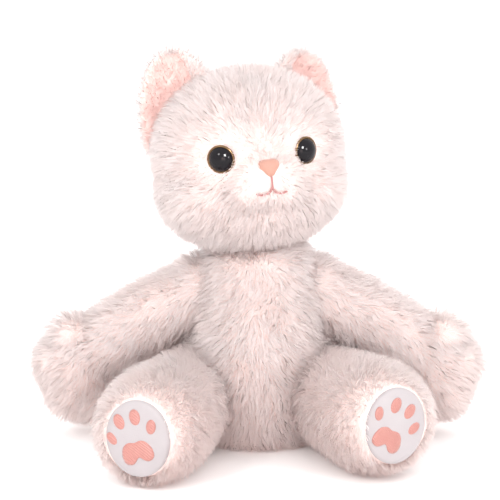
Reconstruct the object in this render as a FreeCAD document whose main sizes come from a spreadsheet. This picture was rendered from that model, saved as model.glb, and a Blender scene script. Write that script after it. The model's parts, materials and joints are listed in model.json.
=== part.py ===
import FreeCAD, Part
import os

# Disc-jointed plush cat, sitting.  Millimetres.
# +Z is up, the cat faces -Y, and +X is the cat's own left.
# The origin is the middle of the flat seat, on the ground.

doc = FreeCAD.newDocument("plush_cat")
sheet = doc.addObject("Spreadsheet::Sheet", "Sizes")

BIG = 400.0
SIDES = (("left", 1), ("right", -1))

# Driving dimensions of the whole toy.
SIZES = (
    # cloth and running gaps
    ("pelt", 4.0),
    ("ease", 0.2),
    ("joint_gap", 0.3),
    # torso faces that the limbs turn against
    ("arm_face", 31.0),
    ("leg_face", 37.0),
    ("face_step", 60.0),
    ("tail_face", 41.0),
    ("tail_face_top", 36.0),
    # pellet bag in the seat
    ("bag_across", 27.0),
    ("bag_deep", 25.0),
    ("bag_tall", 13.0),
    ("bag_height", 20.0),
    # joint hardware
    ("stem", 2.5),
    ("stem_fit", 0.05),
    ("shoulder_disc", 12.0),
    ("hip_disc", 10.0),
    ("disc_thick", 2.5),
    ("neck_disc", 16.0),
    ("lock", 5.0),
    ("lock_thick", 1.5),
    # head pose and forms
    ("neck_x", -2.0),
    ("neck_y", -2.0),
    ("neck_lift", 2.0),
    ("head_turn", 13.5),
    ("head_lean", -4.0),
    ("skull_height", 54.0),
    ("skull_across", 52.0),
    ("skull_deep", 45.0),
    ("skull_tall", 46.0),
    ("cheek_height", 33.0),
    ("cheek_across", 55.0),
    ("cheek_deep", 44.0),
    ("cheek_tall", 36.0),
    ("muzzle_forward", 37.0),
    ("muzzle_height", 44.0),
    ("muzzle_across", 22.0),
    ("muzzle_deep", 17.0),
    ("muzzle_tall", 16.0),
    ("gusset_half", 19.0),
    ("gusset_base", 60.0),
    # ears
    ("ear_out", 36.0),
    ("ear_back", 9.0),
    ("left_ear_height", 80.0),
    ("right_ear_height", 87.0),
    ("ear_across", 24.0),
    ("ear_deep", 8.0),
    ("ear_tall", 33.0),
    ("ear_lean", 6.0),
    ("ear_yaw", 16.0),
    ("ear_hollow", 5.0),
    ("ear_dish", 4.5),
    # eyes
    ("eye_out", 24.5),
    ("eye_forward", 37.0),
    ("eye_height", 58.0),
    ("eye_yaw", 28.0),
    ("eye_round", 7.4),
    ("eye_dome", 5.2),
    ("eye_stem", 2.0),
    ("eye_stem_long", 11.0),
    ("rim_round", 8.2),
    ("rim_thick", 0.9),
    ("eye_washer", 7.0),
    ("eye_washer_depth", 7.5),
    # nose and mouth
    ("nose_across", 6.4),
    ("nose_tall", 5.6),
    ("nose_height", 53.0),
    ("nose_proud", 2.4),
    ("thread", 0.8),
    ("mouth_height", 41.5),
    ("mouth_round", 5.5),
    ("mouth_stroke", 1.5),
    # arms
    ("arm_height", 88.5),
    ("arm_round", 18.5),
    ("paw_out", 77.0),
    ("paw_drop", 50.5),
    ("paw_tilt", 26.0),
    # legs
    ("hip_height", 31.0),
    ("left_hip_y", -6.0),
    ("right_hip_y", -13.0),
    ("left_splay", 25.0),
    ("right_splay", 17.5),
    ("left_foot_lift", 3.0),
    ("right_foot_lift", -1.0),
    ("knee_out", 5.0),
    ("knee_forward", 24.0),
    ("sole_across", 18.5),
    ("sole_tall", 21.5),
    ("sole_thick", 1.2),
    ("pad_thick", 0.7),
    ("main_pad_across", 9.0),
    ("main_pad_tall", 6.5),
    ("main_pad_low", 6.5),
    ("lobe_round", 5.2),
    ("lobe_out", 5.0),
    ("lobe_low", 4.6),
    ("left_print_turn", 30.0),
    ("right_print_turn", -18.0),
    # tail
    ("tail_height", 16.0),
    ("tail_root", 9.0),
)

# Torso stations: name, height above the ground, radius.
TORSO = (
    ("seat", 0.0, 32.0),
    ("rise", 7.0, 39.0),
    ("rump", 20.0, 43.5),
    ("belly", 35.0, 45.0),
    ("waist", 52.0, 43.0),
    ("ribs", 68.0, 39.5),
    ("chest", 84.0, 36.0),
    ("shoulders", 100.0, 32.0),
    ("collar", 110.0, 28.5),
    ("neck", 116.0, 24.0),
)

# Arm stations from the shoulder: name, out, drop, radius.  They lie on a sloping tube.
ARM = (
    ("root", 3.0, 1.5, 18.0),
    ("upper", 28.0, 14.5, 19.5),
    ("fore", 54.0, 29.0, 19.0),
    ("wrist", 70.0, 40.0, 17.5),
)

# Paw stations along its own axis, downward from the paw's middle: name, drop, radius.
PAW = (
    ("crown", -25.0, 6.0),
    ("brow", -19.0, 14.5),
    ("back", -8.0, 19.5),
    ("middle", 1.0, 20.3),
    ("palm", 10.0, 18.8),
    ("fingers", 18.0, 14.3),
    ("end", 25.0, 6.0),
)

# Leg stations along its own axis, measured ahead of the knee point: name, ahead, radius.
LEG = (
    ("rear", -42.0, 12.0),
    ("hip", -36.0, 19.5),
    ("thigh", -20.0, 23.5),
    ("knee", 4.0, 24.5),
    ("shin", 26.0, 26.0),
    ("ankle", 44.0, 27.5),
    ("foot", 60.0, 27.5),
    ("ball", 71.0, 24.8),
    ("sole", 78.0, 21.8),
)

# Tail stations from its root ball: name, sideways, back, heading, radius.
TAIL = (
    ("base", 0.0, 0.0, 0.0, 8.5),
    ("near", 0.0, 22.0, 0.0, 9.5),
    ("bend", 6.0, 46.0, 26.0, 10.0),
    ("far", 22.0, 68.0, 46.0, 10.0),
    ("end", 38.0, 80.0, 56.0, 8.5),
    ("tip", 44.0, 83.5, 60.0, 4.5),
)

# Toe pads on a sole: sideways, above the middle, half width, half height, lean.
TOES = (
    (-12.2, 3.0, 2.6, 4.0, 24.0),
    (-5.0, 11.0, 3.2, 4.6, 8.0),
    (4.6, 11.4, 3.2, 4.6, -8.0),
    (12.0, 4.2, 2.8, 4.2, -24.0),
)


def fill_sheet():
    rows = list(SIZES)
    for name, height, radius in TORSO:
        rows.append(("torso_" + name + "_height", height))
        rows.append(("torso_" + name + "_radius", radius))
    for name, out, drop, radius in ARM:
        rows.append(("arm_" + name + "_out", out))
        rows.append(("arm_" + name + "_drop", drop))
        rows.append(("arm_" + name + "_radius", radius))
    for name, drop, radius in PAW:
        rows.append(("paw_" + name + "_drop", drop))
        rows.append(("paw_" + name + "_radius", radius))
    for name, ahead, radius in LEG:
        rows.append(("leg_" + name + "_ahead", ahead))
        rows.append(("leg_" + name + "_radius", radius))
    for name, side, back, heading, radius in TAIL:
        rows.append(("tail_" + name + "_side", side))
        rows.append(("tail_" + name + "_back", back))
        rows.append(("tail_" + name + "_heading", heading))
        rows.append(("tail_" + name + "_radius", radius))
    for number, (side, up, across, tall, lean) in enumerate(TOES):
        toe = "toe_" + "abcd"[number]
        rows.append((toe + "_side", side))
        rows.append((toe + "_up", up))
        rows.append((toe + "_across", across))
        rows.append((toe + "_tall", tall))
        rows.append((toe + "_lean", lean))
    for row, (alias, value) in enumerate(rows, start=1):
        sheet.set("A%d" % row, alias.replace("_", " "))
        sheet.set("B%d" % row, str(value))
        sheet.setAlias("B%d" % row, alias)
    doc.recompute()


def size(alias):
    return float(sheet.get(alias))


def named(text):
    """Put the sheet's name before each alias written in braces."""
    return text.replace("{", "Sizes.").replace("}", "")


def bind(thing, **sizes):
    for name, text in sizes.items():
        thing.setExpression(name, named(text))


def put(thing, x="0", y="0", z="0", yaw=0.0, pitch=0.0, roll=0.0):
    """Place a thing: position follows the sheet, turns are yaw, pitch, roll in degrees."""
    thing.Placement = FreeCAD.Placement(FreeCAD.Vector(), FreeCAD.Rotation(yaw, pitch, roll))
    thing.setExpression("Placement.Base.x", named(x) + " + 0")
    thing.setExpression("Placement.Base.y", named(y) + " + 0")
    thing.setExpression("Placement.Base.z", named(z) + " + 0")
    return thing


def ellipsoid(name, across, deep, tall, **where):
    ball = doc.addObject("Part::Ellipsoid", name)
    bind(ball, Radius1=tall, Radius2=across, Radius3=deep)
    return put(ball, **where)


def cylinder(name, radius, height, **where):
    rod = doc.addObject("Part::Cylinder", name)
    bind(rod, Radius=radius, Height=height)
    return put(rod, **where)


def block(name, long, wide, high, **where):
    box = doc.addObject("Part::Box", name)
    bind(box, Length=long, Width=wide, Height=high)
    return put(box, **where)


def fuse(name, *things):
    whole = doc.addObject("Part::MultiFuse", name)
    whole.Shapes = list(things)
    return whole


def cut(name, base, *tools):
    result = doc.addObject("Part::Cut", name)
    result.Base = base
    result.Tool = tools[0] if len(tools) == 1 else fuse(name + "_tools", *tools)
    return result


def common(name, first, second):
    result = doc.addObject("Part::Common", name)
    result.Base = first
    result.Tool = second
    return result


def loft(name, sections):
    """A smooth tube through circles given as (radius, placement words)."""
    rings = []
    for number, (radius, where) in enumerate(sections):
        ring = doc.addObject("Part::Circle", "%s_ring%d" % (name, number))
        bind(ring, Radius=radius)
        rings.append(put(ring, **where))
    tube = doc.addObject("Part::Loft", name)
    tube.Sections = rings
    tube.Solid = True
    tube.Ruled = False
    return tube


PIECES = []


def piece(label, thing, **where):
    """Name a finished sub-part and move it from its own frame to the toy's."""
    thing.Label = label
    if where:
        put(thing, **where)
    PIECES.append(thing)
    return thing


def half_space(name, x="0", y="0", z="0", yaw=0.0, pitch=0.0, roll=0.0):
    """A very large block whose -X face passes through the given point."""
    slab = doc.addObject("Part::Box", name)
    slab.Length = BIG
    slab.Width = BIG
    slab.Height = BIG
    turn = FreeCAD.Rotation(yaw, pitch, roll)
    corner = turn.multVec(FreeCAD.Vector(0, -BIG / 2, -BIG / 2))
    slab.Placement = FreeCAD.Placement(FreeCAD.Vector(), turn)
    slab.setExpression("Placement.Base.x", named(x) + " + %.6f" % corner.x)
    slab.setExpression("Placement.Base.y", named(y) + " + %.6f" % corner.y)
    slab.setExpression("Placement.Base.z", named(z) + " + %.6f" % corner.z)
    return slab


# ---------------------------------------------------------------- torso

def torso_form(name, inset):
    """The pear of the torso, with flat faces for the limbs and the tail."""
    sections = []
    for number, (station, height, radius) in enumerate(TORSO):
        lift = "{torso_%s_height}" % station
        if number == 0:
            lift += " + " + inset
        if number == len(TORSO) - 1:
            lift += " - " + inset
        sections.append(("{torso_%s_radius} - %s" % (station, inset), {"z": lift}))
    pear = loft(name + "_pear", sections)
    low = block(name + "_low", "2 * ({leg_face} - %s)" % inset, "300", "{face_step}",
                x="-({leg_face} - %s)" % inset, y="-150")
    high = block(name + "_high", "2 * ({arm_face} - %s)" % inset, "300", "200",
                 x="-({arm_face} - %s)" % inset, y="-150", z="{face_step} - " + inset)
    sided = common(name + "_sided", pear, fuse(name + "_slabs", low, high))
    notch = block(name + "_notch", "100", "100", "{tail_face_top} + " + inset,
                  x="-50", y="{tail_face} - " + inset)
    return cut(name, sided, notch)


def washer(name, radius, where):
    """A body-side disc with a bore that the stem turns in."""
    plate = cylinder(name + "_plate", radius, "{disc_thick}", **where)
    bore = cylinder(name + "_bore", "{stem} + {stem_fit}", "{disc_thick}", **where)
    return cut(name, plate, bore)


def lock_ring(name, where):
    plate = cylinder(name + "_plate", "{lock}", "{lock_thick}", **where)
    bore = cylinder(name + "_bore", "{stem} + {stem_fit}", "{lock_thick}", **where)
    return cut(name, plate, bore)


def joint_disc(name, radius, disc_at, stem_at, stem_long):
    """The limb-side disc and its stem, one moulding."""
    plate = cylinder(name + "_plate", radius, "{disc_thick}", **disc_at)
    stem = cylinder(name + "_stem", "{stem}", stem_long, **stem_at)
    return fuse(name, plate, stem)


# Depths measured from a torso face, inward.
WASHER_DEPTH = "({pelt} + {ease})"
LOCK_DEPTH = "({pelt} + {ease} * 2 + {disc_thick})"
STEM_INWARD = "({pelt} + {ease} * 3 + {disc_thick} + {lock_thick})"


def side_hardware(side, sign, limb, face, y, z):
    """Washer and lock ring inside the torso for one side joint, and their pockets."""
    pitch = 90.0 * sign
    washer_x = "%d * (%s - %s - {disc_thick})" % (sign, face, WASHER_DEPTH)
    lock_x = "%d * (%s - %s - {lock_thick})" % (sign, face, LOCK_DEPTH)
    name = "%s_%s" % (side, limb)
    plate_at = {"x": washer_x, "y": y, "z": z, "pitch": pitch}
    lock_at = {"x": lock_x, "y": y, "z": z, "pitch": pitch}
    disc = "{%s_disc}" % limb
    piece(name + "_washer", washer(name + "_washer", disc, plate_at))
    piece(name + "_lock", lock_ring(name + "_lock", lock_at))
    pocket_x = "%d * (%s - %s - {ease})" % (sign, face, STEM_INWARD)
    pocket = cylinder(name + "_pocket", disc + " + {ease}", STEM_INWARD + " + {ease}",
                      x=pocket_x, y=y, z=z, pitch=pitch)
    hole = cylinder(name + "_hole", "{stem} + {ease}", "{pelt} * 2",
                    x="%d * (%s - {pelt} * 2)" % (sign, face), y=y, z=z, pitch=pitch)
    return pocket, hole


def torso():
    outside = torso_form("torso_outside", "0")
    inside = torso_form("torso_inside", "{pelt}")
    filling = torso_form("torso_filling", "({pelt} + {ease})")
    pockets = []
    holes = []
    for side, sign in SIDES:
        pocket, hole = side_hardware(side, sign, "shoulder", "{arm_face}", "0", "{arm_height}")
        pockets.append(pocket)
        holes.append(hole)
        pocket, hole = side_hardware(side, sign, "hip", "{leg_face}",
                                     "{%s_hip_y}" % side, "{hip_height}")
        pockets.append(pocket)
        holes.append(hole)
    top = "{torso_neck_height}"
    neck_at = {"x": "{neck_x}", "y": "{neck_y}"}
    plate_at = dict(neck_at, z="%s - %s - {disc_thick}" % (top, WASHER_DEPTH))
    ring_at = dict(neck_at, z="%s - %s - {lock_thick}" % (top, LOCK_DEPTH))
    piece("neck_washer", washer("neck_washer", "{neck_disc}", plate_at))
    piece("neck_lock", lock_ring("neck_lock", ring_at))
    pockets.append(cylinder("neck_pocket", "{neck_disc} + {ease}", STEM_INWARD + " + {ease}",
                            x="{neck_x}", y="{neck_y}",
                            z="%s - %s - {ease}" % (top, STEM_INWARD)))
    holes.append(cylinder("neck_hole", "{stem} + {ease}", "{pelt} * 2",
                          x="{neck_x}", y="{neck_y}", z=top + " - {pelt} * 2"))
    shell = cut("torso_shell", outside, inside, *holes)
    back_half = half_space("torso_back_half", yaw=90.0)
    piece("body_back_pelt", common("body_back_pelt", shell, back_half))
    piece("body_front_pelt", cut("body_front_pelt", shell, back_half))
    bag = ellipsoid("bag", "{bag_across}", "{bag_deep}", "{bag_tall}", z="{bag_height}")
    bag_pocket = ellipsoid("bag_pocket", "{bag_across} + {ease}", "{bag_deep} + {ease}",
                           "{bag_tall} + {ease}", z="{bag_height}")
    piece("pellet_bag", bag)
    piece("body_stuffing", cut("body_stuffing", filling, bag_pocket, *pockets))


# ---------------------------------------------------------------- head

HEAD_AT = {"x": "{neck_x}", "y": "{neck_y}", "z": "{torso_neck_height} + {neck_lift}"}


def head_place():
    return dict(HEAD_AT, yaw=size("head_turn"), pitch=size("head_lean"))


def head_form(name, inset):
    skull = ellipsoid(name + "_skull", "{skull_across} - " + inset, "{skull_deep} - " + inset,
                      "{skull_tall} - " + inset, z="{skull_height}")
    cheeks = ellipsoid(name + "_cheeks", "{cheek_across} - " + inset, "{cheek_deep} - " + inset,
                       "{cheek_tall} - " + inset, z="{cheek_height}")
    muzzle = ellipsoid(name + "_muzzle", "{muzzle_across} - " + inset,
                       "{muzzle_deep} - " + inset, "{muzzle_tall} - " + inset,
                       y="-{muzzle_forward}", z="{muzzle_height}")
    whole = fuse(name + "_whole", skull, cheeks, muzzle)
    return common(name, whole, half_space(name + "_floor", z=inset, pitch=-90.0))


def eye(side, sign):
    """Dome, rim and washer of one safety eye; returns the tool that opens the pelt."""
    where = {"x": "%d * {eye_out}" % sign, "y": "-{eye_forward}", "z": "{eye_height}"}
    yaw = size("eye_yaw") * sign
    dome = ellipsoid(side + "_eye_dome", "{eye_round}", "{eye_round}", "{eye_dome}",
                     yaw=yaw - 90.0, pitch=90.0, **where)
    dome.Angle1 = 0.0
    stem = cylinder(side + "_eye_stem", "{eye_stem}", "{eye_stem_long}",
                    yaw=yaw + 90.0, pitch=90.0, **where)
    piece(side + "_eye", fuse(side + "_eye", dome, stem), **head_place())
    rim_plate = cylinder(side + "_rim_plate", "{rim_round}", "{rim_thick}",
                         yaw=yaw - 90.0, pitch=90.0, **where)
    rim_bore = cylinder(side + "_rim_bore", "{eye_round} + 0.02", "{rim_thick}",
                        yaw=yaw - 90.0, pitch=90.0, **where)
    piece(side + "_eye_rim", cut(side + "_eye_rim", rim_plate, rim_bore), **head_place())
    seat = cylinder(side + "_eye_seat", "{rim_round} + {ease}", "{pelt} * 3",
                    yaw=yaw - 90.0, pitch=90.0, **where)
    hole = cylinder(side + "_eye_hole", "{eye_stem} + {ease}", "{eye_stem_long} + {ease}",
                    yaw=yaw + 90.0, pitch=90.0, **where)
    inward = FreeCAD.Rotation(yaw, 0, 0).multVec(FreeCAD.Vector(0, 1, 0))
    deep = {
        "x": where["x"] + " + {eye_washer_depth} * %.6f" % inward.x,
        "y": where["y"] + " + {eye_washer_depth} * %.6f" % inward.y,
        "z": where["z"],
    }
    plate = cylinder(side + "_eye_plate", "{eye_washer}", "{lock_thick}",
                     yaw=yaw + 90.0, pitch=90.0, **deep)
    bore = cylinder(side + "_eye_bore", "{eye_stem} + 0.02", "{lock_thick}",
                    yaw=yaw + 90.0, pitch=90.0, **deep)
    piece(side + "_eye_washer", cut(side + "_eye_washer", plate, bore), **head_place())
    room = cylinder(side + "_eye_room", "{eye_washer} + {ease}", "{lock_thick} + 4",
                    yaw=yaw + 90.0, pitch=90.0,
                    x=deep["x"] + " - 2 * %.6f" % inward.x,
                    y=deep["y"] + " - 2 * %.6f" % inward.y, z=deep["z"])
    return seat, hole, room


def ear(side, sign, head_solid):
    """Ear back in long pile and pink lining, both sewn to the head."""
    where = {"x": "%d * {ear_out}" % sign, "y": "{ear_back}", "z": "{%s_ear_height}" % side,
             "yaw": size("ear_yaw") * sign, "pitch": size("ear_lean") * sign}
    ahead = FreeCAD.Rotation(where["yaw"], 0, 0).multVec(FreeCAD.Vector(0, -1, 0))
    rear = ellipsoid(side + "_ear_rear", "{ear_across}", "{ear_deep}", "{ear_tall}", **where)
    rear.Angle3 = 180.0
    front = ellipsoid(side + "_ear_front", "{ear_across}", "{ear_deep}", "{ear_tall}",
                      **dict(where, yaw=where["yaw"] + 180.0, pitch=-where["pitch"]))
    front.Angle3 = 180.0
    dish = ellipsoid(side + "_ear_dish", "{ear_across} - {ear_hollow}", "{ear_deep}",
                     "{ear_tall} - {ear_hollow}",
                     **dict(where, x=where["x"] + " + {ear_dish} * %.6f" % ahead.x,
                            y=where["y"] + " + {ear_dish} * %.6f" % ahead.y))
    piece(side + "_ear_back", cut(side + "_ear_back", rear, head_solid), **head_place())
    piece(side + "_ear_lining", cut(side + "_ear_lining", front, dish, head_solid),
          **head_place())


def face_layer(name, proud):
    """The thin layer just outside the head's surface."""
    raised = head_form(name + "_raised", "(0 - %s)" % proud)
    return cut(name, raised, head_form(name + "_base", "0"))


def nose():
    layer = face_layer("nose_layer", "{nose_proud}")
    outline = ellipsoid("nose_outline", "{nose_across}", "30", "{nose_tall}",
                        y="-{muzzle_forward} - 30", z="{nose_height}")
    piece("nose", common("nose", layer, outline), **head_place())


def mouth_curve(side, sign):
    """One curve of the mouth: the lower part of a ring."""
    turned = {"x": "%d * {mouth_round}" % sign, "y": "-{muzzle_forward}",
              "z": "{mouth_height}", "roll": 90.0}
    disc = cylinder(side + "_mouth_disc", "{mouth_round} + {mouth_stroke} / 2", "60", **turned)
    core = cylinder(side + "_mouth_core", "{mouth_round} - {mouth_stroke} / 2", "60", **turned)
    ring = cut(side + "_mouth_ring", disc, core)
    above = half_space(side + "_mouth_above", z="{mouth_height} + 1", pitch=-90.0)
    return cut(side + "_mouth_curve", ring, above)


def mouth():
    layer = face_layer("mouth_layer", "{thread}")
    drop = block("mouth_drop", "{mouth_stroke}", "60",
                 "{nose_height} - {nose_tall} - {mouth_height} + {mouth_round} / 4",
                 x="-{mouth_stroke} / 2", y="-{muzzle_forward} - 60",
                 z="{mouth_height} - {mouth_round} / 4")
    curves = [mouth_curve(side, sign) for side, sign in SIDES]
    strokes = fuse("mouth_strokes", drop, *curves)
    piece("mouth_stitching", common("mouth_stitching", layer, strokes), **head_place())


def head():
    outside = head_form("head_outside", "0")
    inside = head_form("head_inside", "{pelt}")
    filling = head_form("head_filling", "({pelt} + {ease})")
    seats = []
    holes = []
    rooms = []
    for side, sign in SIDES:
        seat, hole, room = eye(side, sign)
        seats.append(seat)
        holes.append(hole)
        rooms.append(room)
    neck_hole = cylinder("head_neck_hole", "{stem} + 1.2", "{pelt} * 3", z="-{pelt}")
    shell = cut("head_shell", outside, inside, neck_hole, *(seats + holes))
    gusset_box = block("gusset_box", "2 * {gusset_half}", "200", "100",
                       x="-{gusset_half}", y="-100", z="{gusset_base}")
    piece("head_gusset", common("head_gusset", shell, gusset_box), **head_place())
    sides = cut("head_sides", shell, gusset_box)
    left_half = half_space("head_left_half")
    piece("head_left_pelt", common("head_left_pelt", sides, left_half), **head_place())
    piece("head_right_pelt", cut("head_right_pelt", sides, left_half), **head_place())
    disc_room = cylinder("head_disc_room", "{neck_disc} + 1", "{pelt} + {disc_thick} + 4")
    piece("head_stuffing", cut("head_stuffing", filling, disc_room, *(rooms + holes)),
          **head_place())
    ear_solid = head_form("ear_solid", "0")
    for side, sign in SIDES:
        ear(side, sign, ear_solid)
    nose()
    mouth()
    stem_low = "{torso_neck_height} - " + STEM_INWARD
    disc_low = "{torso_neck_height} + {neck_lift} + {pelt} + 1.6"
    neck_xy = {"x": "{neck_x}", "y": "{neck_y}"}
    piece("neck_joint", joint_disc("neck_joint", "{neck_disc}", dict(neck_xy, z=disc_low),
                                   dict(neck_xy, z=stem_low), "%s - (%s) + {disc_thick}"
                                   % (disc_low, stem_low)))


# ---------------------------------------------------------------- arms

def arm_form(name, sign, inset):
    """One arm: sloping tube, shoulder ball and paw, cut flat at the shoulder."""
    slope = 28.0
    sections = []
    for station, out, drop, radius in ARM:
        sections.append(("{arm_%s_radius} - %s" % (station, inset),
                         {"x": "%d * {arm_%s_out}" % (sign, station),
                          "z": "-{arm_%s_drop}" % station,
                          "pitch": sign * (90.0 + slope)}))
    tube = loft(name + "_tube", sections)
    shoulder = doc.addObject("Part::Sphere", name + "_shoulder")
    bind(shoulder, Radius="{arm_round} - " + inset)
    put(shoulder, x="%d * 3" % sign)
    rings = []
    for number, (station, _, _) in enumerate(PAW):
        drop = "{paw_%s_drop}" % station
        if number == 0:
            drop += " + " + inset
        if number == len(PAW) - 1:
            drop += " - " + inset
        girth = "max({paw_%s_radius} - %s; 2)" % (station, inset)
        rings.append((girth, {
            "x": "%d * ({paw_out} - (%s) * sin({paw_tilt}))" % (sign, drop),
            "z": "-({paw_drop} + (%s) * cos({paw_tilt}))" % drop,
            "pitch": sign * size("paw_tilt")}))
    paw = loft(name + "_paw", rings)
    whole = fuse(name + "_whole", tube, shoulder, paw)
    yaw = 0.0 if sign > 0 else 180.0
    outward = half_space(name + "_outward", x="%d * %s" % (sign, inset), yaw=yaw)
    return common(name, whole, outward)


def arm(side, sign):
    name = side + "_arm"
    where = {"x": "%d * ({arm_face} + {joint_gap})" % sign, "z": "{arm_height}"}
    outside = arm_form(name + "_outside", sign, "0")
    inside = arm_form(name + "_inside", sign, "{pelt}")
    filling = arm_form(name + "_filling", sign, "({pelt} + {ease})")
    hole = cylinder(name + "_hole", "{stem} + {ease}", "{pelt} * 2", pitch=90.0 * sign)
    shell = cut(name + "_shell", outside, inside, hole)
    back_half = half_space(name + "_back_half", yaw=90.0)
    piece(name + "_back_pelt", common(name + "_back_pelt", shell, back_half), **where)
    piece(name + "_front_pelt", cut(name + "_front_pelt", shell, back_half), **where)
    room = cylinder(name + "_disc_room", "{shoulder_disc} + {ease}", "{pelt} + {disc_thick} + 1",
                    pitch=90.0 * sign)
    piece(name + "_stuffing", cut(name + "_stuffing", filling, room), **where)
    limb_joint(side, sign, "shoulder", where)


def limb_joint(side, sign, limb, where):
    """Disc inside the limb, with a stem reaching through both cloths into the torso."""
    inward = "({joint_gap} + %s)" % STEM_INWARD
    disc_at = {"x": "%d * ({pelt} + {ease} + 0.4)" % sign, "pitch": 90.0 * sign}
    stem_at = {"x": "%d * (0 - %s)" % (sign, inward), "pitch": 90.0 * sign}
    name = "%s_%s_joint" % (side, limb)
    moulding = joint_disc(name, "{%s_disc}" % limb, disc_at, stem_at,
                          inward + " + {pelt} + {ease} + 0.4 + {disc_thick}")
    piece(name, moulding, **where)


# ---------------------------------------------------------------- legs

def axis_point(side, sign, ahead):
    """Words for a point on the leg's axis, a distance ahead of the knee point."""
    return {
        "x": "%d * ({knee_out} + (%s) * sin({%s_splay}))" % (sign, ahead, side),
        "y": "-({knee_forward} + (%s) * cos({%s_splay}))" % (ahead, side),
        "z": "{%s_foot_lift} * (%s) / {leg_sole_ahead}" % (side, ahead),
    }


def leg_form(name, side, sign, inset):
    """One leg: a round limb along its splayed axis, cut flat at the hip."""
    yaw = sign * size(side + "_splay") - 90.0
    sections = []
    for number, (station, _, _) in enumerate(LEG):
        ahead = "{leg_%s_ahead}" % station
        if number == 0:
            ahead += " + " + inset
        if number == len(LEG) - 1:
            ahead += " - " + inset
        sections.append(("{leg_%s_radius} - %s" % (station, inset),
                         dict(axis_point(side, sign, ahead), yaw=yaw, pitch=90.0)))
    limb = loft(name + "_limb", sections)
    facing = 0.0 if sign > 0 else 180.0
    outward = half_space(name + "_outward", x="%d * %s" % (sign, inset), yaw=facing)
    return common(name, limb, outward)


def flat_oval(name, side, sign, across, tall, ahead, thick, sideways="0", up="0", lean=0.0):
    """A flat oval lying on the sole.  Sideways and up are measured on the sole."""
    splay = sign * size(side + "_splay")
    turn = FreeCAD.Rotation(splay, 0, 0)
    across_way = turn.multVec(FreeCAD.Vector(1, 0, 0))
    middle = axis_point(side, sign, "{leg_sole_ahead} + " + ahead)
    bead = doc.addObject("Part::Ellipse", name + "_edge")
    wide_first = tall if size_of(tall) > size_of(across) else across
    narrow = across if wide_first == tall else tall
    bind(bead, MajorRadius=wide_first, MinorRadius=narrow)
    spin = 90.0 if wide_first == tall else 0.0
    flat = FreeCAD.Rotation(splay, 0, 0).multiply(FreeCAD.Rotation(0, 0, 90.0))
    flat = flat.multiply(FreeCAD.Rotation(spin + lean, 0, 0))
    bead.Placement = FreeCAD.Placement(FreeCAD.Vector(), flat)
    bead.setExpression("Placement.Base.x", named("%s + (%s) * %.6f" % (
        middle["x"], sideways, across_way.x)))
    bead.setExpression("Placement.Base.y", named("%s + (%s) * %.6f" % (
        middle["y"], sideways, across_way.y)))
    bead.setExpression("Placement.Base.z", named("%s + (%s)" % (middle["z"], up)))
    solid = doc.addObject("Part::Extrusion", name)
    solid.Base = bead
    solid.DirMode = "Custom"
    solid.Dir = turn.multVec(FreeCAD.Vector(0, -1, 0))
    solid.Solid = True
    solid.setExpression("LengthFwd", named(thick))
    return solid


def size_of(text):
    """The number an alias in braces holds, leaving out anything added to it."""
    return size(text.split("}")[0].strip("{( "))


def turned(side, along, up):
    """Words for a point of the paw print after the print is turned on the sole."""
    angle = "{%s_print_turn}" % side
    sideways = "(%s) * cos(%s) + (%s) * sin(%s)" % (along, angle, up, angle)
    upward = "(%s) * cos(%s) - (%s) * sin(%s)" % (up, angle, along, angle)
    return sideways, upward


def paw_print(side, sign, where):
    """Embroidered main pad and four toe pads."""
    ahead = "{sole_thick}"
    spin = -size(side + "_print_turn")
    parts = []
    sideways, upward = turned(side, "0", "-{main_pad_low}")
    parts.append(flat_oval(side + "_pad_bar", side, sign, "{main_pad_across}",
                           "{main_pad_tall}", ahead, "{pad_thick}", sideways, upward, spin))
    for number, way in enumerate((-1, 1)):
        sideways, upward = turned(side, "%d * {lobe_out}" % way,
                                  "-({main_pad_low} + {lobe_low})")
        parts.append(flat_oval("%s_pad_lobe%d" % (side, number), side, sign, "{lobe_round}",
                               "{lobe_round}", ahead, "{pad_thick}", sideways, upward))
    piece(side + "_main_pad", fuse(side + "_main_pad", *parts), **where)
    toes = []
    for number, letter in enumerate("abcd"):
        toe = "toe_" + letter
        sideways, upward = turned(side, "{%s_side}" % toe, "{%s_up}" % toe)
        toes.append(flat_oval("%s_%s" % (side, toe), side, sign, "{%s_across}" % toe,
                              "{%s_tall}" % toe, ahead, "{pad_thick}", sideways, upward,
                              spin + size(toe + "_lean")))
    piece(side + "_toe_pads", fuse(side + "_toe_pads", *toes), **where)


def leg(side, sign):
    name = side + "_leg"
    where = {"x": "%d * ({leg_face} + {joint_gap})" % sign, "y": "{%s_hip_y}" % side,
             "z": "{hip_height}"}
    outside = leg_form(name + "_outside", side, sign, "0")
    inside = leg_form(name + "_inside", side, sign, "{pelt}")
    filling = leg_form(name + "_filling", side, sign, "({pelt} + {ease})")
    hole = cylinder(name + "_hole", "{stem} + {ease}", "{pelt} * 2", pitch=90.0 * sign)
    shell = cut(name + "_shell", outside, inside, hole)
    yaw = sign * size(side + "_splay") + (0.0 if sign > 0 else 180.0)
    outer = half_space(name + "_outer_half", yaw=yaw, **axis_point(side, sign, "0"))
    piece(name + "_outer_pelt", common(name + "_outer_pelt", shell, outer), **where)
    piece(name + "_inner_pelt", cut(name + "_inner_pelt", shell, outer), **where)
    room = cylinder(name + "_disc_room", "{hip_disc} + {ease}", "{pelt} + {disc_thick} + 1",
                    pitch=90.0 * sign)
    piece(name + "_stuffing", cut(name + "_stuffing", filling, room), **where)
    sole = flat_oval(side + "_sole_patch", side, sign, "{sole_across}", "{sole_tall}", "0",
                     "{sole_thick}")
    piece(side + "_sole_patch", sole, **where)
    paw_print(side, sign, where)
    limb_joint(side, sign, "hip", where)
    return where


# ---------------------------------------------------------------- tail

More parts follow.
